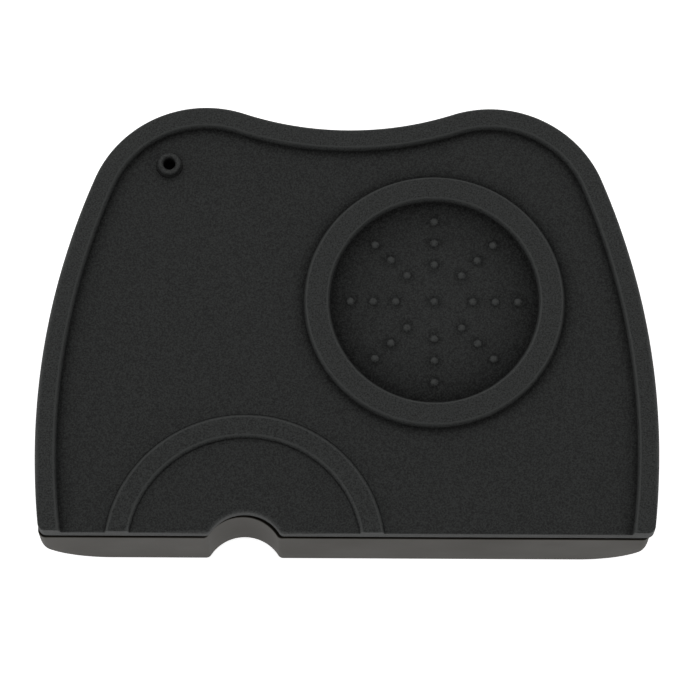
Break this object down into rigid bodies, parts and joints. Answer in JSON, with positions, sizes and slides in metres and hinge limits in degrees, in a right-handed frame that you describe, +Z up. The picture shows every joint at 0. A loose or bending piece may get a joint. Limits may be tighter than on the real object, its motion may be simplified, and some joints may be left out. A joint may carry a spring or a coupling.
{
  "type": "espresso tamping mat",
  "caption": "Rubber mat for a worktop's edge: raised rim, round dotted tamper seat, curved portafilter rest with spout notch, pen socket, and a bar that hangs in front of the worktop.",
  "frame": {"origin": "where the worktop's top face meets its front face, at the middle of the mat's width", "axes": "+X to the right along the worktop's edge, +Y back over the worktop, +Z up out of the mat's top"},
  "size_m": [0.2, 0.1428, 0.0385],
  "materials": {
    "pad_rubber": "matt black moulded rubber with a fine spark-eroded grain",
    "bar_rubber": "matt black moulded rubber, smoother than the pad",
    "contact_adhesive": "cured black contact adhesive"
  },
  "bodies": {
    "root": {"top_mat": "pad_rubber", "bond_layer": "contact_adhesive", "edge_bar": "bar_rubber"}
  },
  "joints": []
}
